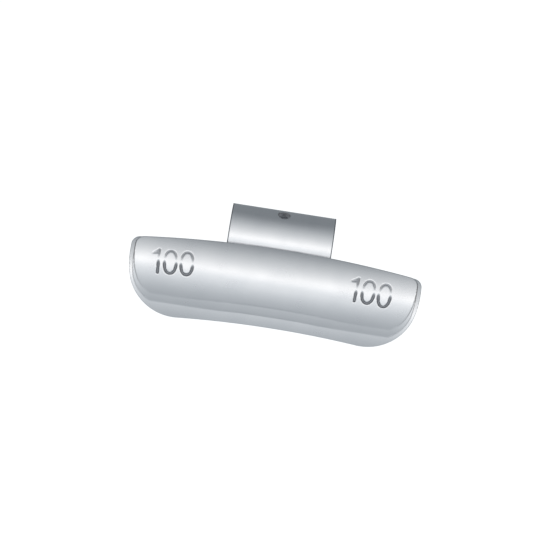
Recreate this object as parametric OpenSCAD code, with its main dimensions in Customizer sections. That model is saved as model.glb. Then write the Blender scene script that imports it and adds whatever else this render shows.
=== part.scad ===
// A clip-on balance weight for a wheel: a curved cast block with a bent spring-steel clip cast into it.
// The clip hooks over the edge of the wheel's rim flange and holds the block against the flange.
// X runs along the block, +Z points outwards from the wheel's axis, and the marked face looks to -Y.
// The origin is the centre of the clip's bend, half way along the block.

/* [Block] */
// Length of the block, end to end
block_length = 88.4; // [70:0.1:110]
// Height of the block at mid-length, from the top edge to the bottom edge
block_height = 24; // [20:0.1:28]
// Thickness of the block at the crown of its front face
block_thickness = 8.7; // [7.5:0.1:11]
// Radius of the top edge, which follows the rim
top_edge_r = 350; // [220:1:450]
// Radius of the small upper corners
upper_corner_r = 2.5; // [1.9:0.1:3.2]

/* [Front face] */
// Radius of the front face's crown, from top to bottom
crown_r = 14.5; // [13:0.1:20]
// Height of the upper ledge below the front face
upper_ledge_h = 2.7; // [2:0.1:3.5]
// Radius of the upper ledge's rounded front
upper_ledge_r = 16.6; // [15:0.1:20]
// Height of the lower ledge
lower_ledge_h = 3.5; // [2.5:0.1:4]
// Radius of the lower ledge's rounded front
lower_ledge_r = 20; // [18:0.1:24]
// Depth of the step at the top of each ledge, at mid-length
ledge_step = 0.3; // [0.2:0.05:0.6]
// Width of the lower ledge where it wraps round the block's ends
lower_end_ledge_w = 1.35; // [1:0.05:1.6]
// Width of the upper ledge there
upper_end_ledge_w = 0.35; // [0.25:0.05:0.8]

/* [Ends] */
// Radius of the long curve down each end of the block
end_curve_r = 30; // [25:1:45]
// Radius of each lower corner
lower_corner_r = 15; // [12:0.1:17]
// Height below the top edge at which the ends start to curve
end_curve_drop = 6.5; // [5:0.1:8]

/* [Clip] */
// Width of the clip's steel strip
strip_width = 31.6; // [20:0.1:40]
// Thickness of the steel strip
strip_t = 1.4; // [1:0.1:1.6]
// Outside radius of the clip's bend
bend_outer_r = 9.8; // [9:0.1:11]
// Height of the bend's centre above the block's top edge
bend_rise = 2.1; // [1.6:0.1:3]
// How far behind the block's back the bend's centre lies
bend_setback = 4.8; // [4.4:0.1:5.2]
// Length of the clip's leg that is cast into the block, below the bend
leg_length = 11; // [8:0.1:13]
// Diameter of the round hole in the clip's bend
bend_hole_d = 3.9; // [2.5:0.1:5]
// Angle of that hole, forwards from the top of the bend
bend_hole_angle = 32; // [20:1:45]
// Diameter of the two holes that lock the leg into the casting
anchor_hole_d = 4; // [2:0.1:5]
// Distance between the centres of the two holes in the leg
anchor_hole_gap = 16; // [10:0.1:20]

/* [Clip arm] */
// Angle by which the bend closes in past its rearmost point
arm_close_angle = 20; // [12:1:26]
// Length of the straight arm that grips the back of the flange
arm_length = 4.5; // [3:0.1:6]
// Inside radius of the lip that leads the flange in
lip_inner_r = 1.6; // [1:0.1:2.5]
// Angle through which the lip turns outwards
lip_angle = 48; // [30:1:60]

/* [Hidden] */
$fn = 96;
half_length = block_length / 2;
back_y = -bend_setback;
top_z = -bend_rise;
arc_centre_z = top_z - top_edge_r;
// A length that reaches past every face that it has to cut
over = 60;
// Short flats that round one corner, and that curve one end
corner_flats = 12;
end_flats = 7;
// Short flats that make the clip's bend, and its lip
bend_flats = 72;
lip_flats = 8;
// Where the holes in the leg sit, as a share of its length
anchor_share = 0.62;

// The front face's lower edge, the upper ledge's and the block's, all at mid-length
crease_1_z = top_z - block_height + upper_ledge_h + lower_ledge_h;
crease_2_z = crease_1_z - upper_ledge_h;
bottom_z = crease_2_z - lower_ledge_h;

// The crown's axis, level with the middle of the front face
crown_z = (top_z + crease_1_z) / 2;
crown_y = back_y - block_thickness + crown_r;

// Each ledge starts at its step with a set slope, which fixes the axis of its rounded front
upper_ledge_slope = 28;
lower_ledge_slope = 21.5;
function front_y(axis_y, axis_z, r, z) = axis_y - sqrt(r * r - (z - axis_z) * (z - axis_z));
upper_ledge_z = crease_1_z + upper_ledge_r * sin(upper_ledge_slope);
upper_ledge_y = front_y(crown_y, crown_z, crown_r, crease_1_z) + ledge_step
    + upper_ledge_r * cos(upper_ledge_slope);
lower_ledge_z = crease_2_z + lower_ledge_r * sin(lower_ledge_slope);
lower_ledge_y = front_y(upper_ledge_y, upper_ledge_z, upper_ledge_r, crease_2_z) + ledge_step
    + lower_ledge_r * cos(lower_ledge_slope);
// The curves of the inner outlines, as shares of the block's own end curve and lower corner
ledge_curve_share = 1.2;
face_curve_share = 0.63;
ledge_corner_share = 0.7;
face_corner_share = 0.57;

bend_inner_r = bend_outer_r - strip_t;
root_angle = asin(bend_rise / bend_outer_r);

// Where two circles cross, given their centres and radii: the crossing on the right of the line a to b
function crossing(a, ra, b, rb) =
    let (d = norm(b - a),
         along = (ra * ra - rb * rb + d * d) / (2 * d),
         aside = sqrt(ra * ra - along * along),
         dir = (b - a) / d)
    a + along * dir + aside * [dir[1], -dir[0]];

// Points along an arc, from one angle to another
function arc_points(centre, r, from, to, flats) = [
    for (i = [0:flats])
        let (angle = from + (to - from) * i / flats) centre + r * [cos(angle), sin(angle)]
];

// A line of points whose first and last stretches run on past their ends
function run_on(points) =
    let (last = len(points) - 1)
    [
        points[1] + 8 * (points[0] - points[1]),
        for (i = [1:last - 1]) points[i],
        points[last - 1] + 8 * (points[last] - points[last - 1])
    ];

// What is cut off the left end of an outline: its long curve and its rounded lower corner
module left_end_waste(half, low_z, end_r, corner_r) {
    arc_centre = [0, arc_centre_z];
    end_centre = [-half + end_r, top_z - end_curve_drop];
    corner = crossing(end_centre, end_r - corner_r, arc_centre, low_z - arc_centre_z + corner_r);
    meet = 180 + asin((end_centre[1] - corner[1]) / (end_r - corner_r));
    stop = 270 - asin(corner[0] / norm(corner - arc_centre));
    curve = arc_points(end_centre, end_r, 180, meet, end_flats);
    turn = arc_points(corner, corner_r, meet, stop, corner_flats);
    edge = run_on([each curve, for (i = [1:corner_flats]) turn[i]]);
    polygon([
        each edge,
        [edge[len(edge) - 1][0], -over],
        [-over, -over],
        [-over, edge[0][1]]
    ]);
}

// What is cut off the upper corner of an outline's left end
module left_upper_waste(half) {
    across = half - upper_corner_r;
    inner_r = top_edge_r - upper_corner_r;
    centre = [-across, arc_centre_z + sqrt(pow(inner_r, 2) - pow(across, 2))];
    edge = run_on(arc_points(centre, upper_corner_r, 180, 90 + asin(across / inner_r), corner_flats));
    polygon([each edge, [edge[len(edge) - 1][0], over], [-over, over], [-over, edge[0][1]]]);
}

// A curved outline, seen from the front, which runs on above the top edge between its upper corners
module open_outline(half, low_z, end_r, corner_r) {
    difference() {
        translate([-half, -over]) square([2 * half, 2 * over]);
        translate([0, arc_centre_z]) circle(low_z - arc_centre_z);
        for (side = [0, 1])
            mirror([side, 0]) {
                left_end_waste(half, low_z, end_r, corner_r);
                left_upper_waste(half);
            }
    }
}

// The block's own outline, closed by the top edge
module block_outline() {
    intersection() {
        open_outline(half_length, bottom_z, end_curve_r, lower_corner_r);
        translate([0, arc_centre_z]) circle(top_edge_r);
    }
}

// Draws an outline out from the block's back to a given depth in front of it
module forwards(depth) {
    translate([0, back_y, 0]) rotate([90, 0, 0]) linear_extrude(depth) children();
}

// Draws a shape of the block's section out along the whole block
module along() {
    translate([-over, 0, 0]) rotate([90, 0, 90]) linear_extrude(2 * over) children();
}

module crown_round() {
    translate([crown_y, crown_z]) circle(crown_r);
}

module upper_ledge_round() {
    translate([upper_ledge_y, upper_ledge_z]) circle(upper_ledge_r);
}

module lower_ledge_round() {
    translate([lower_ledge_y, lower_ledge_z]) circle(lower_ledge_r);
}

// What a ledge takes off the block: all that lies in front of its round, outside the next outline
module ledge_cut(half, low_z, end_r, corner_r) {
    difference() {
        translate([-over, back_y - over, -over]) cube([2 * over, over, 2 * over]);
        children();
        forwards(over + 1) open_outline(half, low_z, end_r, corner_r);
    }
}

module weight_body() {
    color("silver") difference() {
        intersection() {
            forwards(block_thickness + 1) block_outline();
            along() union() {
                crown_round();
                upper_ledge_round();
                lower_ledge_round();
            }
        }
        ledge_cut(half_length - lower_end_ledge_w - upper_end_ledge_w, crease_1_z,
                  face_curve_share * end_curve_r, face_corner_share * lower_corner_r)
            along() union() {
                upper_ledge_round();
                lower_ledge_round();
            }
        ledge_cut(half_length - lower_end_ledge_w, crease_2_z,
                  ledge_curve_share * end_curve_r, ledge_corner_share * lower_corner_r)
            along() lower_ledge_round();
        clip_strip();
    }
}

// The strip from the side: the leg, the bend over the flange, the arm, and the lip turned outwards
module strip_profile() {
    root = 180 + root_angle;
    leg_run = leg_length * [sin(root_angle), -cos(root_angle)];
    arm_run = arm_length * [-sin(arm_close_angle), -cos(arm_close_angle)];
    arm_out = [cos(arm_close_angle), -sin(arm_close_angle)];
    lip_centre = (bend_outer_r + lip_inner_r) * arm_out + arm_run;
    lip_start = 180 - arm_close_angle;
    lip_end = lip_start + lip_angle;
    polygon([
        bend_outer_r * [cos(root), sin(root)] + leg_run,
        each arc_points([0, 0], bend_outer_r, root, -arm_close_angle, bend_flats),
        each arc_points(lip_centre, lip_inner_r, lip_start, lip_end, lip_flats),
        each arc_points(lip_centre, lip_inner_r + strip_t, lip_end, lip_start, lip_flats),
        each arc_points([0, 0], bend_inner_r, -arm_close_angle, root, bend_flats),
        bend_inner_r * [cos(root), sin(root)] + leg_run
    ]);
}

// The whole strip, with the hole in its bend and the two in its leg
module clip_strip() {
    difference() {
        translate([-strip_width / 2, 0, 0]) rotate([90, 0, 90])
            linear_extrude(strip_width) strip_profile();
        rotate([bend_hole_angle, 0, 0]) cylinder(h = over, d = bend_hole_d);
        for (side = [-1, 1])
            rotate([root_angle, 0, 0])
                translate([side * anchor_hole_gap / 2, 0, -anchor_share * leg_length])
                    rotate([90, 0, 0]) cylinder(h = over, d = anchor_hole_d);
    }
}

module spring_clip() {
    color("lightgray") clip_strip();
}

weight_body();
spring_clip();
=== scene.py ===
from math import asin, atan2, copysign, cos, exp, hypot, pi, radians, sin, sqrt, tan

import bpy
from mathutils import Matrix, Vector


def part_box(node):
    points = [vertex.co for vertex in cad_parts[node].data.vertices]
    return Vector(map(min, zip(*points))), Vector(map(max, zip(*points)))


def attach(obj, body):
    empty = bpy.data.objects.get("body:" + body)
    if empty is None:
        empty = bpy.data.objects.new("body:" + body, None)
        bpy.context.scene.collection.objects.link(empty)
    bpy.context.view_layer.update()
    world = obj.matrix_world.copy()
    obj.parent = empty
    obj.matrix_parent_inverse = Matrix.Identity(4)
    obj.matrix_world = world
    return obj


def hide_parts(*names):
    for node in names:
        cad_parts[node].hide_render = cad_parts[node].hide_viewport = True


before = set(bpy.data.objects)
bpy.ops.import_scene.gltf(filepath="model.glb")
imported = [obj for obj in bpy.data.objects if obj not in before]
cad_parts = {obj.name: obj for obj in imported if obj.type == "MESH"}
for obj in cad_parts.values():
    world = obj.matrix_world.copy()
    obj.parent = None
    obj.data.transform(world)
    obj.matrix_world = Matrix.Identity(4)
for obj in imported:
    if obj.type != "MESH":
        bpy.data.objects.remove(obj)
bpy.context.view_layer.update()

# The camera
# It stands in front of the marked face, level with the middle of the block, with a long lens.
# It is rolled, because the object lies tilted in the picture.
MM = 0.001
# How much the picture spans at the object, and the object's point in the picture's middle
photo_width = 165.7 * MM
photo_middle = Vector((0, -7 * MM, -9.94 * MM))
camera_distance = 600 * MM
camera_roll = radians(8.85)
lens = bpy.data.cameras.new("long_lens")
lens.sensor_width = 36
lens.lens = lens.sensor_width * camera_distance / photo_width
lens.clip_start = 10 * MM
camera = bpy.data.objects.new("camera", lens)
bpy.context.scene.collection.objects.link(camera)
facing_back = Matrix.Rotation(radians(90), 3, "X") @ Matrix.Rotation(camera_roll, 3, "Z")
camera.rotation_euler = facing_back.to_euler()
camera.location = photo_middle - Vector((0, camera_distance, 0))
bpy.context.scene.camera = camera

# The studio
# A white cloth cove all round, brightest level with the object and dark at its open top. A grey flag
# on each side draws a thin dark line along the object's edges. The matt floor takes its shadow, and
# glows with painted cove light, dimmest under the object.
studio_strength = 1.45
# The cove's brightness by how many degrees a direction points up, ahead of the object and behind it
cove_levels = [(-90, 0.33), (-70, 0.4), (-48, 0.52), (-28, 0.695), (-12, 0.84), (-4, 0.97), (0, 1.0),
               (4, 0.95), (12, 0.78), (26, 0.61), (47, 0.43), (68, 0.285), (90, 0.19)]
back_levels = [(-90, 0.33), (-30, 0.65), (-10, 0.75), (0, 0.74), (9.5, 0.72), (14, 0.19), (90, 0.19)]
# The back's levels take over between these two shares of a direction that points backwards
back_from = -0.05
back_to = 0.1
# The flags start at this share of a direction that points to the side, and leave this share of the light
flag_edge = 0.45
flag_level = 0.25
# The cloth's red and blue fall off faster and slower than its green
red_fall = 1.055
blue_fall = 0.955
floor_drop = 350 * MM
floor_r = 3.0
floor_flats = 96
floor_grey = "#BCBCBC"
# How much of the floor's level comes from the cove's light on its own grey, and not from its glow
floor_own_light = 0.15


def linear(hex_colour):
    """An sRGB hex colour as linear red, green, blue and alpha."""
    channels = [int(hex_colour[i:i + 2], 16) / 255 for i in (1, 3, 5)]
    return [c / 12.92 if c <= 0.04045 else ((c + 0.055) / 1.055) ** 2.4 for c in channels] + [1]


def add_node(tree, kind, inputs=None, **settings):
    """Adds a node. Each input takes a value, or another node's output to link."""
    node = tree.nodes.new(kind)
    for name, value in settings.items():
        setattr(node, name, value)
    for name, value in (inputs or {}).items():
        if isinstance(value, bpy.types.NodeSocket):
            tree.links.new(value, node.inputs[name])
        else:
            node.inputs[name].default_value = value
    return node


def cool_grey(level):
    """A grey of the cove's cloth, which turns cooler as it gets darker."""
    return (level ** red_fall, level, level ** blue_fall, 1)


def set_stops(ramp_node, stops):
    """Gives a colour ramp its stops: pairs of a place and a grey level, in rising order."""
    ramp = ramp_node.color_ramp
    ramp.elements.remove(ramp.elements[1])
    ramp.elements[0].position = stops[0][0]
    ramp.elements[0].color = cool_grey(stops[0][1])
    for place, level in stops[1:]:
        ramp.elements.new(place).color = cool_grey(level)


def by_height(levels):
    """The cove's levels by a direction's height, from 0 straight down to 1 straight up."""
    return [((1 + sin(radians(angle))) / 2, level) for angle, level in levels]


def flagged(tree, across):
    """The studio's strength by how far a direction points to the side, where the flags stand."""
    sideways = add_node(tree, "ShaderNodeMath", {0: across}, operation="ABSOLUTE")
    flags = add_node(tree, "ShaderNodeMapRange",
                     {"Value": sideways.outputs["Value"], "From Min": flag_edge, "From Max": 1,
                      "To Min": studio_strength, "To Max": studio_strength * flag_level},
                     interpolation_type="SMOOTHSTEP")
    return flags.outputs["Result"]


bpy.context.scene.view_settings.view_transform = "Standard"
world = bpy.data.worlds.new("white_cove")
bpy.context.scene.world = world
world.use_nodes = True
cove = world.node_tree
cove.nodes.clear()
cove_way = add_node(cove, "ShaderNodeTexCoord")
cove_parts = add_node(cove, "ShaderNodeSeparateXYZ", {0: cove_way.outputs["Generated"]})
height = add_node(cove, "ShaderNodeMapRange",
                  {"Value": cove_parts.outputs["Z"], "From Min": -1, "From Max": 1})
cove_ramp = add_node(cove, "ShaderNodeValToRGB", {"Fac": height.outputs["Result"]})
set_stops(cove_ramp, by_height(cove_levels))
back_ramp = add_node(cove, "ShaderNodeValToRGB", {"Fac": height.outputs["Result"]})
set_stops(back_ramp, by_height(back_levels))
behind = add_node(cove, "ShaderNodeMapRange",
                  {"Value": cove_parts.outputs["Y"], "From Min": back_from, "From Max": back_to})
cove_colour = add_node(cove, "ShaderNodeMixRGB",
                       {"Fac": behind.outputs["Result"], "Color1": cove_ramp.outputs["Color"],
                        "Color2": back_ramp.outputs["Color"]})
cove_light = add_node(cove, "ShaderNodeBackground",
                      {"Color": cove_colour.outputs["Color"],
                       "Strength": flagged(cove, cove_parts.outputs["X"])})
add_node(cove, "ShaderNodeOutputWorld", {"Surface": cove_light.outputs["Background"]})

bpy.ops.object.select_all(action="DESELECT")
bpy.ops.mesh.primitive_circle_add(vertices=floor_flats, radius=floor_r, fill_type="NGON",
                                  location=(0, 0, -floor_drop))
bpy.ops.object.transform_apply()
floor = bpy.context.object
floor.name = "studio_floor"

# Matt floor paint with a painted glow: it shows the camera and the metal the cove's own levels as a glow,
# dimmest straight under the object, and its matt grey shades under the object
floor_painted_glow = bpy.data.materials.new("matt_floor_with_painted_glow")
floor_painted_glow.use_nodes = True
paint = floor_painted_glow.node_tree
paint.nodes.clear()
floor_place = add_node(paint, "ShaderNodeTexCoord")
flat_place = add_node(paint, "ShaderNodeVectorMath", {0: floor_place.outputs["Object"], 1: (1, 1, 0)},
                      operation="MULTIPLY")
reach = add_node(paint, "ShaderNodeVectorMath", {0: flat_place.outputs["Vector"]}, operation="LENGTH")
reach_share = add_node(paint, "ShaderNodeMapRange", {"Value": reach.outputs["Value"], "From Max": floor_r})
floor_glow_ramp = add_node(paint, "ShaderNodeValToRGB", {"Fac": reach_share.outputs["Result"]})
set_stops(floor_glow_ramp, [
    (min(1, floor_drop / tan(radians(-angle)) / floor_r), level - floor_own_light)
    for angle, level in cove_levels if angle < 0
])
rays = add_node(paint, "ShaderNodeLightPath")
seen = add_node(paint, "ShaderNodeMath",
                {0: rays.outputs["Is Camera Ray"], 1: rays.outputs["Is Glossy Ray"]}, operation="ADD")
seen_through = add_node(paint, "ShaderNodeMath",
                        {0: seen.outputs["Value"], 1: rays.outputs["Is Transmission Ray"]},
                        operation="ADD", use_clamp=True)
floor_way = add_node(paint, "ShaderNodeVectorMath", {0: floor_place.outputs["Object"]},
                     operation="NORMALIZE")
floor_parts = add_node(paint, "ShaderNodeSeparateXYZ", {0: floor_way.outputs["Vector"]})
glow_strength = add_node(paint, "ShaderNodeMath",
                         {0: seen_through.outputs["Value"], 1: flagged(paint, floor_parts.outputs["X"])},
                         operation="MULTIPLY")
glow = add_node(paint, "ShaderNodeEmission",
                {"Color": floor_glow_ramp.outputs["Color"], "Strength": glow_strength.outputs["Value"]})
matt = add_node(paint, "ShaderNodeBsdfDiffuse", {"Color": linear(floor_grey)})
both = add_node(paint, "ShaderNodeAddShader", {0: matt.outputs["BSDF"], 1: glow.outputs["Emission"]})
add_node(paint, "ShaderNodeOutputMaterial", {"Surface": both.outputs["Shader"]})
floor.data.materials.append(floor_painted_glow)

# The clip
# One strip of cold-rolled spring steel, sheared to width, bent over the rim's flange and coated.
# Its leg is cast into the block. Its bend has a round hole, and its sheared edges are lightly rounded.
strip_width = 31.6 * MM
strip_t = 1.4 * MM
bend_outer_r = 9.8 * MM
bend_rise = 2.1 * MM
leg_length = 11 * MM
bend_hole_d = 3.9 * MM
bend_hole_angle = radians(32)
arm_close_angle = radians(20)
arm_length = 4.5 * MM
lip_inner_r = 1.6 * MM
lip_angle = radians(48)
sheared_edge_r = 0.18 * MM
steel_light = "#E6E6E7"
steel_shade = "#DBDCDE"
# Painted shade tones: the first darkens the inside of the bend and the hole's wall, the second the strip's
# edges
steel_worn_painted_shade = "#AEB0B4"
steel_edge_painted_shade = "#7B7D81"
bend_flats = 128
lip_flats = 16
hole_flats = 96
# Points closer than this are one point
weld = 0.001 * MM
root_angle = asin(bend_rise / bend_outer_r)
bend_middle_r = bend_outer_r - strip_t / 2


def bent_strip(name):
    """The strip as it is bent: the leg, the bend, the arm and the lip."""
    leg_way = Vector((0, sin(root_angle), -cos(root_angle)))
    root = Vector((0, -bend_middle_r * cos(root_angle), -bend_middle_r * sin(root_angle)))
    foot = root + leg_length * leg_way
    bpy.ops.object.select_all(action="DESELECT")
    bpy.ops.mesh.primitive_plane_add(size=1, location=foot, rotation=(root_angle, 0, 0))
    strip = bpy.context.object
    strip.name = name
    strip.scale = (strip_width, strip_t, 1)
    bpy.ops.object.transform_apply()
    bpy.ops.object.mode_set(mode="EDIT")
    bpy.ops.mesh.select_all(action="SELECT")
    bpy.ops.mesh.extrude_region_move(TRANSFORM_OT_translate={"value": -leg_length * leg_way})
    bend_turn = pi + root_angle + arm_close_angle
    bpy.ops.mesh.spin(steps=bend_flats, angle=bend_turn, center=(0, 0, 0), axis=(1, 0, 0))
    arm_way = Vector((0, -sin(arm_close_angle), -cos(arm_close_angle)))
    bpy.ops.mesh.extrude_region_move(TRANSFORM_OT_translate={"value": arm_length * arm_way})
    arm_out = Vector((0, cos(arm_close_angle), -sin(arm_close_angle)))
    lip_centre = (bend_outer_r + lip_inner_r) * arm_out + arm_length * arm_way
    bpy.ops.mesh.spin(steps=lip_flats, angle=-lip_angle, center=lip_centre, axis=(1, 0, 0))
    bpy.ops.mesh.select_all(action="SELECT")
    bpy.ops.mesh.remove_doubles(threshold=weld)
    bpy.ops.mesh.normals_make_consistent(inside=False)
    bpy.ops.object.mode_set(mode="OBJECT")
    return strip


def combine(piece, tool, operation):
    """Applies a boolean of the tool to the piece, and removes the tool."""
    bpy.ops.object.select_all(action="DESELECT")
    piece.select_set(True)
    bpy.context.view_layer.objects.active = piece
    change = piece.modifiers.new("combine", "BOOLEAN")
    change.operation = operation
    change.solver = "EXACT"
    change.object = tool
    bpy.ops.object.modifier_apply(modifier=change.name)
    bpy.data.objects.remove(tool)
    return piece


clip = bent_strip("rim_spring_clip")
bpy.ops.object.select_all(action="DESELECT")
bpy.ops.mesh.primitive_cylinder_add(
    vertices=hole_flats, radius=bend_hole_d / 2, depth=bend_outer_r,
    location=(0, -bend_outer_r * sin(bend_hole_angle), bend_outer_r * cos(bend_hole_angle)),
    rotation=(bend_hole_angle, 0, 0))
bpy.ops.object.transform_apply()
combine(clip, bpy.context.object, "DIFFERENCE")
edge_round = clip.modifiers.new("sheared_edges", "BEVEL")
edge_round.width = sheared_edge_r
edge_round.segments = 3
edge_round.limit_method = "ANGLE"
edge_round.angle_limit = radians(45)
bpy.ops.object.modifier_apply(modifier=edge_round.name)
bpy.ops.object.shade_smooth_by_angle(angle=radians(35))

# Coated spring steel, cold-rolled: a smooth grey metal that mirrors the cove softly, with fine streaks
clip_finish = bpy.data.materials.new("coated_spring_steel")
clip_finish.use_nodes = True
steel = clip_finish.node_tree
steel_shader = steel.nodes["Principled BSDF"]
steel_shader.inputs["Metallic"].default_value = 1
steel_place = add_node(steel, "ShaderNodeTexCoord")
# Rolling lines, 0.4 mm apart and 50 mm long: streaks in the shine, drawn coarse enough to show
rolling_gap = 0.4 * MM
rolling_run = 50 * MM
smooth_steel = 0.22
streaked_steel = 0.27
# Nearly all of a noise lies between these two values
noise_low = 0.3
noise_high = 0.7
across_strip = add_node(steel, "ShaderNodeVectorMath",
                        {0: steel_place.outputs["Object"],
                         1: (1 / rolling_gap, 1 / rolling_run, 1 / rolling_run)},
                        operation="MULTIPLY")
rolling = add_node(steel, "ShaderNodeTexNoise",
                   {"Vector": across_strip.outputs["Vector"], "Scale": 1, "Detail": 2})
shine = add_node(steel, "ShaderNodeMapRange",
                 {"Value": rolling.outputs["Fac"], "From Min": noise_low, "From Max": noise_high,
                  "To Min": smooth_steel, "To Max": streaked_steel})
# The coating's tone clouds in patches of 5 mm
steel_patch = 5 * MM
cloudy = add_node(steel, "ShaderNodeTexNoise",
                  {"Vector": steel_place.outputs["Object"], "Scale": 1 / steel_patch, "Detail": 3})
steel_tone = add_node(steel, "ShaderNodeMixRGB",
                      {"Fac": cloudy.outputs["Fac"], "Color1": linear(steel_light),
                       "Color2": linear(steel_shade)})
# The inside of the bend and the hole's wall rub on the former and are duller than the outside; they are
# also painted darker, a painted shade for the hollow of the bend and the hole.
# The wear and the painted shade start just below the strip's outer face.
inner_shade_from = 0.04 * MM
inner_shade_full = 0.16 * MM
dull_steel = 0.55
from_bend = add_node(steel, "ShaderNodeVectorMath",
                     {0: steel_place.outputs["Object"], 1: (0, 1, 1)}, operation="MULTIPLY")
bend_r = add_node(steel, "ShaderNodeVectorMath", {0: from_bend.outputs["Vector"]}, operation="LENGTH")
inside = add_node(steel, "ShaderNodeMapRange",
                  {"Value": bend_r.outputs["Value"], "From Min": bend_outer_r - inner_shade_full,
                   "From Max": bend_outer_r - inner_shade_from, "To Min": 1, "To Max": 0})
inner_painted_shade_tone = add_node(steel, "ShaderNodeMixRGB",
                      {"Fac": inside.outputs["Result"], "Color1": steel_tone.outputs["Color"],
                       "Color2": linear(steel_worn_painted_shade)})
# A dark, dull line 0.3 mm wide is painted along both sides of the strip: a painted edge shade that draws a
# thin dark edge
edge_shade_line_w = 0.3 * MM
edge_shade_line_blur = 0.05 * MM
steel_parts = add_node(steel, "ShaderNodeSeparateXYZ", {0: steel_place.outputs["Object"]})
off_middle = add_node(steel, "ShaderNodeMath", {0: steel_parts.outputs["X"]}, operation="ABSOLUTE")
sheared = add_node(steel, "ShaderNodeMapRange",
                   {"Value": off_middle.outputs["Value"],
                    "From Min": strip_width / 2 - edge_shade_line_w - edge_shade_line_blur,
                    "From Max": strip_width / 2 - edge_shade_line_w + edge_shade_line_blur})
steel_colour = add_node(steel, "ShaderNodeMixRGB",
                        {"Fac": sheared.outputs["Result"], "Color1": inner_painted_shade_tone.outputs["Color"],
                         "Color2": linear(steel_edge_painted_shade)})
dull = add_node(steel, "ShaderNodeMath",
                {0: inside.outputs["Result"], 1: sheared.outputs["Result"]}, operation="MAXIMUM")
steel_roughness = add_node(steel, "ShaderNodeMapRange",
                           {"Value": dull.outputs["Value"], "To Min": shine.outputs["Result"],
                            "To Max": dull_steel})
steel.links.new(steel_colour.outputs["Color"], steel_shader.inputs["Base Color"])
steel.links.new(steel_roughness.outputs["Result"], steel_shader.inputs["Roughness"])
clip.data.materials.append(clip_finish)
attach(clip, "root")
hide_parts("spring_clip")

# The block
# One die casting in zinc alloy with a thin silver-grey coating. Its crowned front steps down to two
# rounded ledges that run along the lower edge and wrap round both ends. Its top follows the rim.
block_low, block_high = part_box("weight_body")
half_length = block_high.x
back_y = block_high.y
front_y = block_low.y
top_z = block_high.z
block_height = 24 * MM
top_edge_r = 350 * MM
upper_corner_r = 2.5 * MM
end_curve_r = 30 * MM
end_curve_drop = 6.5 * MM
lower_corner_r = 15 * MM
crown_r = 14.5 * MM
ledge_step = 0.3 * MM
upper_ledge_h = 2.7 * MM
upper_ledge_r = 16.6 * MM
upper_ledge_slope = radians(28)
upper_end_ledge_w = 0.35 * MM
lower_ledge_h = 3.5 * MM
lower_ledge_r = 20 * MM
lower_ledge_slope = radians(21.5)
lower_end_ledge_w = 1.35 * MM
coat_light = "#E6E6E7"
coat_shade = "#DBDCDE"
# The figures' grooves take this grey as painted shade
groove_painted_shade_grey = "#A1A3A7"
# The curves of the inner outlines, as shares of the block's own end curve and lower corner
face_curve_share = 0.63
face_corner_share = 0.57
ledge_curve_share = 1.2
ledge_corner_share = 0.7
# Short flats that make each curve
bar_flats = 900
edge_flats = 60
end_flats = 24
upper_corner_flats = 16
# How far the pieces that are cut to shape reach past the block at first
spare = 6 * MM
bar_length = 2.4 * half_length

axle_z = top_z - top_edge_r
bottom_z = top_z - block_height
crease_2_z = bottom_z + lower_ledge_h
crease_1_z = crease_2_z + upper_ledge_h
crown_z = (top_z + crease_1_z) / 2
crown_y = front_y + crown_r


def round_y(axis_y, axis_z, r, z):
    """How far forward a round along the block comes at one height."""
    return axis_y - sqrt(r * r - (z - axis_z) ** 2)


upper_ledge_z = crease_1_z + upper_ledge_r * sin(upper_ledge_slope)
upper_ledge_y = (round_y(crown_y, crown_z, crown_r, crease_1_z) + ledge_step
                 + upper_ledge_r * cos(upper_ledge_slope))
lower_ledge_z = crease_2_z + lower_ledge_r * sin(lower_ledge_slope)
lower_ledge_y = (round_y(upper_ledge_y, upper_ledge_z, upper_ledge_r, crease_2_z) + ledge_step
                 + lower_ledge_r * cos(lower_ledge_slope))


def arc(centre, r, start, stop, flats):
    """Points along an arc in the plane of the front."""
    angles = [start + (stop - start) * i / flats for i in range(flats + 1)]
    return [(centre[0] + r * cos(a), centre[1] + r * sin(a)) for a in angles]


def upper_left(half):
    """The round of an outline's upper left corner, from the rim's curve down to the end."""
    across = half - upper_corner_r
    inner_r = top_edge_r - upper_corner_r
    centre = (-across, axle_z + sqrt(inner_r ** 2 - across ** 2))
    return arc(centre, upper_corner_r, pi / 2 + asin(across / inner_r), pi, upper_corner_flats)


def closed_top(half):
    """The left half of a top line that follows the rim's curve."""
    corner = upper_left(half)
    start = atan2(corner[0][1] - axle_z, corner[0][0])
    return arc((0, axle_z), top_edge_r, pi / 2, start, edge_flats)[:-1] + corner


def open_top(half):
    """The left half of a top line that runs on past the rim's curve, between the corners."""
    corner = upper_left(half)
    high_z = top_z + 2 * spare
    run_on = (2 * corner[0][0] - corner[1][0], 2 * corner[0][1] - corner[1][1])
    return [(0, high_z), (run_on[0], high_z), run_on] + corner


def front_outline(top_left, half, low_z, end_r, corner_r):
    """The outline of one step of the front, all round from the right half of its top line."""
    end_centre = (-half + end_r, top_z - end_curve_drop)
    low_r = low_z - axle_z
    # The lower corner's round touches the end's curve from inside and the bottom's curve from outside
    from_end = end_r - corner_r
    from_axle = low_r + corner_r
    apart = hypot(end_centre[0], end_centre[1] - axle_z)
    along = (from_end ** 2 - from_axle ** 2 + apart ** 2) / (2 * apart)
    aside = sqrt(from_end ** 2 - along ** 2)
    dx = -end_centre[0] / apart
    dz = (axle_z - end_centre[1]) / apart
    corner = (end_centre[0] + along * dx + aside * dz, end_centre[1] + along * dz - aside * dx)
    meet = pi + asin((end_centre[1] - corner[1]) / from_end)
    touch = atan2(corner[1] - axle_z, corner[0])
    left = (top_left
            + arc(end_centre, end_r, pi, meet, end_flats)
            + arc(corner, corner_r, meet, touch + pi, end_flats)[1:]
            + arc((0, axle_z), low_r, touch, pi / 2, edge_flats)[1:])
    right = [(-x, z) for x, z in reversed(left[1:-1])]
    return left + right


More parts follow.
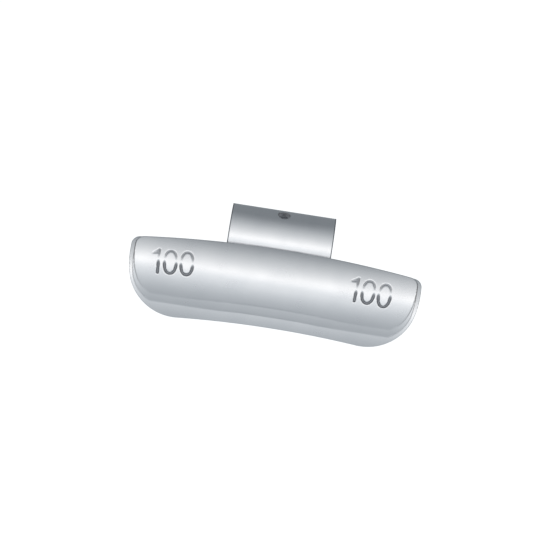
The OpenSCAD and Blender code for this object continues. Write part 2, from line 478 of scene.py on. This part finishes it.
def outline_solid(name, points, start_y, stop_y):
    """A solid of one outline, seen from the front, between two depths."""
    bpy.ops.object.select_all(action="DESELECT")
    bpy.ops.mesh.primitive_circle_add(vertices=len(points), radius=half_length, fill_type="NGON")
    solid = bpy.context.object
    solid.name = name
    for vertex, (x, z) in zip(solid.data.vertices, points):
        vertex.co = (x, start_y, z)
    bpy.ops.object.mode_set(mode="EDIT")
    bpy.ops.mesh.select_all(action="SELECT")
    bpy.ops.mesh.extrude_region_move(TRANSFORM_OT_translate={"value": (0, stop_y - start_y, 0)})
    bpy.ops.mesh.select_all(action="SELECT")
    bpy.ops.mesh.normals_make_consistent(inside=False)
    bpy.ops.object.mode_set(mode="OBJECT")
    return solid


def long_round(name, y, z, r):
    """A round bar along the block."""
    bpy.ops.object.select_all(action="DESELECT")
    bpy.ops.mesh.primitive_cylinder_add(vertices=bar_flats, radius=r, depth=bar_length,
                                        location=(0, y, z), rotation=(0, pi / 2, 0))
    bpy.ops.object.transform_apply()
    bar = bpy.context.object
    bar.name = name
    return bar


whole_outline = front_outline(closed_top(half_length), half_length, bottom_z, end_curve_r, lower_corner_r)


def front_step(name, narrower, low_z, curve_share, corner_share, bar):
    """One step of the front: its outline on its own rounded front, within the whole block's outline."""
    half = half_length - narrower
    over = spare + narrower
    outline = front_outline(open_top(half), half, low_z, curve_share * end_curve_r,
                            corner_share * lower_corner_r)
    step = outline_solid(name, outline, front_y - over, back_y + over)
    combine(step, bar, "INTERSECT")
    block_solid = outline_solid("whole_outline", whole_outline, front_y - spare, back_y)
    return combine(step, block_solid, "INTERSECT")


block = front_step("weight_block", lower_end_ledge_w + upper_end_ledge_w, crease_1_z,
                   face_curve_share, face_corner_share,
                   long_round("crown_round", crown_y, crown_z, crown_r))
upper_ledge = front_step("upper_ledge", lower_end_ledge_w, crease_2_z,
                         ledge_curve_share, ledge_corner_share,
                         long_round("upper_round", upper_ledge_y, upper_ledge_z, upper_ledge_r))
lower_ledge = outline_solid("lower_ledge", whole_outline, front_y - spare, back_y)
combine(lower_ledge, long_round("lower_round", lower_ledge_y, lower_ledge_z, lower_ledge_r), "INTERSECT")

# The block's numbers: plain figures for its weight in grams, sunk into both ends of the front by the
# die. Each stroke is a round-bottomed groove, rubbed shallow where the crown stands proudest. Each row
# leans to follow the rim's curve.
figure_height = 7.55 * MM
zero_width = 4.4 * MM
zero_squareness = 0.87
zero_gap = 4.95 * MM
one_gap = 3.6 * MM
one_flag_w = 2 * MM
one_flag_drop = 1.15 * MM
one_flag_foot = 0.7 * MM
one_flag_tip_share = 0.7
stroke_r = 0.4 * MM
stroke_w = 0.85 * MM
# The middle of each row, and how far it leans
row_places = [(-31.4 * MM, -10.9 * MM, radians(3.4)), (28.3 * MM, -10.72 * MM, radians(-3.4))]
# The grooves are deeper below the height at which they are rubbed most
lower_depth = 0.65 * MM
upper_depth = 0.34 * MM
rubbed_depth = 0.03 * MM
rubbed_z = -10.3 * MM
rubbed_half_h = 1.2 * MM
zero_flats = 56
stem_flats = 20


def stroke_depth(z):
    """How deep a stroke is at one height."""
    rubbed = exp(-((z - rubbed_z) / rubbed_half_h) ** 2)
    whole = lower_depth if z < rubbed_z else upper_depth
    return whole + (rubbed_depth - whole) * rubbed


def stroke(points, closed, end_share=1):
    """A round cutter along a line on the crown of the front. It thins towards the line's end."""
    line = bpy.data.curves.new("stroke", "CURVE")
    line.dimensions = "3D"
    line.bevel_depth = stroke_r
    line.bevel_resolution = 4
    line.use_fill_caps = True
    spline = line.splines.new("POLY")
    spline.points.add(len(points) - 1)
    spline.use_cyclic_u = closed
    for point, (x, z) in zip(spline.points, points):
        sunk_r = crown_r + stroke_r - stroke_depth(z)
        point.co = (x, round_y(crown_y, crown_z, sunk_r, z), z, 1)
    spline.points[-1].radius = end_share
    cutter = bpy.data.objects.new("stroke", line)
    bpy.context.scene.collection.objects.link(cutter)
    bpy.ops.object.select_all(action="DESELECT")
    cutter.select_set(True)
    bpy.context.view_layer.objects.active = cutter
    bpy.ops.object.convert(target="MESH")
    bpy.ops.object.mode_set(mode="EDIT")
    bpy.ops.mesh.select_all(action="SELECT")
    bpy.ops.mesh.remove_doubles(threshold=weld)
    bpy.ops.mesh.normals_make_consistent(inside=False)
    bpy.ops.object.mode_set(mode="OBJECT")
    return bpy.context.object


def squared(share):
    """Draws an oval's points out towards its corners, which makes it a little squarer."""
    return copysign(abs(share) ** zero_squareness, share)


def leaned(points, row_x, row_z, lean):
    """Turns a figure's points with its row, about the row's middle."""
    return [(row_x + x * cos(lean) - z * sin(lean), row_z + x * sin(lean) + z * cos(lean))
            for x, z in points]


half_high = (figure_height - stroke_w) / 2
half_wide = (zero_width - stroke_w) / 2
zero_angles = [2 * pi * i / zero_flats for i in range(zero_flats)]
first_zero = [(half_wide * squared(cos(a)), half_high * squared(sin(a))) for a in zero_angles]
last_zero = [(x + zero_gap, z) for x, z in first_zero]
one_stem = [(-one_gap, figure_height / 2 - i * figure_height / stem_flats) for i in range(stem_flats + 1)]
flag_tip = (-one_gap - one_flag_w, half_high - one_flag_drop)
flag_top = [(-one_gap, half_high), flag_tip]
flag_foot = [(-one_gap, half_high - one_flag_foot), flag_tip]
for row in row_places:
    combine(block, stroke(leaned(first_zero, *row), True), "DIFFERENCE")
    combine(block, stroke(leaned(last_zero, *row), True), "DIFFERENCE")
    combine(block, stroke(leaned(one_stem, *row), False), "DIFFERENCE")
    combine(block, stroke(leaned(flag_top, *row), False, one_flag_tip_share), "DIFFERENCE")
    combine(block, stroke(leaned(flag_foot, *row), False, one_flag_tip_share), "DIFFERENCE")

# The block's metal closes round the clip's leg, and has no sharp edge: the die's own rounds and the
# coating soften every step and corner
cast_grain = 0.18 * MM
block_triangles = 190000
for step in (block, upper_ledge, lower_ledge):
    combine(step, bent_strip("leg_slot"), "DIFFERENCE")
bpy.ops.object.select_all(action="DESELECT")
for step in (block, upper_ledge, lower_ledge):
    step.select_set(True)
bpy.context.view_layer.objects.active = block
bpy.ops.object.join()
cast_form = block.modifiers.new("cast_form", "REMESH")
cast_form.mode = "VOXEL"
cast_form.voxel_size = cast_grain
bpy.ops.object.modifier_apply(modifier=cast_form.name)
soft_edges = block.modifiers.new("soft_edges", "SMOOTH")
soft_edges.factor = 0.5
soft_edges.iterations = 2
bpy.ops.object.modifier_apply(modifier=soft_edges.name)
fewer = block.modifiers.new("fewer_triangles", "DECIMATE")
fewer.ratio = block_triangles / sum(len(face.vertices) - 2 for face in block.data.polygons)
bpy.ops.object.modifier_apply(modifier=fewer.name)
bpy.ops.object.shade_smooth()

# Die-cast zinc alloy with a silver-grey coating: a satin metal with one soft, slightly cloudy highlight
zinc_finish = bpy.data.materials.new("silver_grey_coated_zinc")
zinc_finish.use_nodes = True
zinc = zinc_finish.node_tree
zinc_shader = zinc.nodes["Principled BSDF"]
zinc_shader.inputs["Metallic"].default_value = 1
zinc_place = add_node(zinc, "ShaderNodeTexCoord")
# The coating lies a little uneven, in patches of 6 mm: cloudy colour and shine
zinc_patch = 6 * MM
smooth_coat = 0.235
cloudy_coat = 0.28
patches = add_node(zinc, "ShaderNodeTexNoise",
                   {"Vector": zinc_place.outputs["Object"], "Scale": 1 / zinc_patch, "Detail": 3})
zinc_tone = add_node(zinc, "ShaderNodeMixRGB",
                     {"Fac": patches.outputs["Fac"], "Color1": linear(coat_light),
                      "Color2": linear(coat_shade)})
zinc_shine = add_node(zinc, "ShaderNodeMapRange",
                      {"Value": patches.outputs["Fac"], "From Min": noise_low, "From Max": noise_high,
                       "To Min": smooth_coat, "To Max": cloudy_coat})
# The die's skin shows through as a grain of 0.35 mm: a faint bump, drawn coarse enough to show
skin_grain = 0.35 * MM
skin_depth = 0.006 * MM
skin = add_node(zinc, "ShaderNodeTexNoise",
                {"Vector": zinc_place.outputs["Object"], "Scale": 1 / skin_grain, "Detail": 2})
grain = add_node(zinc, "ShaderNodeBump",
                 {"Height": skin.outputs["Fac"], "Distance": skin_depth, "Strength": 0.2})
# The bottoms of the figures' grooves are painted dark and dull: painted shade in the recesses, which
# makes solid grey strokes.
# They are what lies just under the crown, within the box that holds either row of figures.
groove_shade_from = 0.04 * MM
groove_shade_full = 0.32 * MM
dull_groove = 0.6
figures_deep = 1.2 * MM
figures_x = 30 * MM
figures_half_w = 9.5 * MM
figures_z = -11 * MM
figures_half_h = 5 * MM
zinc_parts = add_node(zinc, "ShaderNodeSeparateXYZ", {0: zinc_place.outputs["Object"]})
from_crown = add_node(zinc, "ShaderNodeVectorMath",
                      {0: zinc_place.outputs["Object"], 1: (0, crown_y, crown_z)}, operation="SUBTRACT")
crown_section = add_node(zinc, "ShaderNodeVectorMath",
                         {0: from_crown.outputs["Vector"], 1: (0, 1, 1)}, operation="MULTIPLY")
face_r = add_node(zinc, "ShaderNodeVectorMath", {0: crown_section.outputs["Vector"]}, operation="LENGTH")
sunk = add_node(zinc, "ShaderNodeMapRange",
                {"Value": face_r.outputs["Value"], "From Min": crown_r - groove_shade_full,
                 "From Max": crown_r - groove_shade_from, "To Min": 1, "To Max": 0})
face_x = add_node(zinc, "ShaderNodeMath", {0: zinc_parts.outputs["X"]}, operation="ABSOLUTE")
in_length = add_node(zinc, "ShaderNodeMath",
                     {0: face_x.outputs["Value"], 1: figures_x, 2: figures_half_w}, operation="COMPARE")
in_height = add_node(zinc, "ShaderNodeMath",
                     {0: zinc_parts.outputs["Z"], 1: figures_z, 2: figures_half_h}, operation="COMPARE")
in_row = add_node(zinc, "ShaderNodeMath",
                  {0: in_length.outputs["Value"], 1: in_height.outputs["Value"]}, operation="MULTIPLY")
in_front = add_node(zinc, "ShaderNodeMath",
                    {0: face_r.outputs["Value"], 1: crown_r - figures_deep}, operation="GREATER_THAN")
in_figures = add_node(zinc, "ShaderNodeMath",
                      {0: in_row.outputs["Value"], 1: in_front.outputs["Value"]}, operation="MULTIPLY")
groove_painted_shade = add_node(zinc, "ShaderNodeMath",
                    {0: sunk.outputs["Result"], 1: in_figures.outputs["Value"]}, operation="MULTIPLY")
zinc_colour = add_node(zinc, "ShaderNodeMixRGB",
                       {"Fac": groove_painted_shade.outputs["Value"], "Color1": zinc_tone.outputs["Color"],
                        "Color2": linear(groove_painted_shade_grey)})
zinc_roughness = add_node(zinc, "ShaderNodeMapRange",
                          {"Value": groove_painted_shade.outputs["Value"], "To Min": zinc_shine.outputs["Result"],
                           "To Max": dull_groove})
zinc.links.new(zinc_colour.outputs["Color"], zinc_shader.inputs["Base Color"])
zinc.links.new(zinc_roughness.outputs["Result"], zinc_shader.inputs["Roughness"])
zinc.links.new(grain.outputs["Normal"], zinc_shader.inputs["Normal"])
block.data.materials.clear()
block.data.materials.append(zinc_finish)
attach(block, "root")
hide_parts("weight_body")
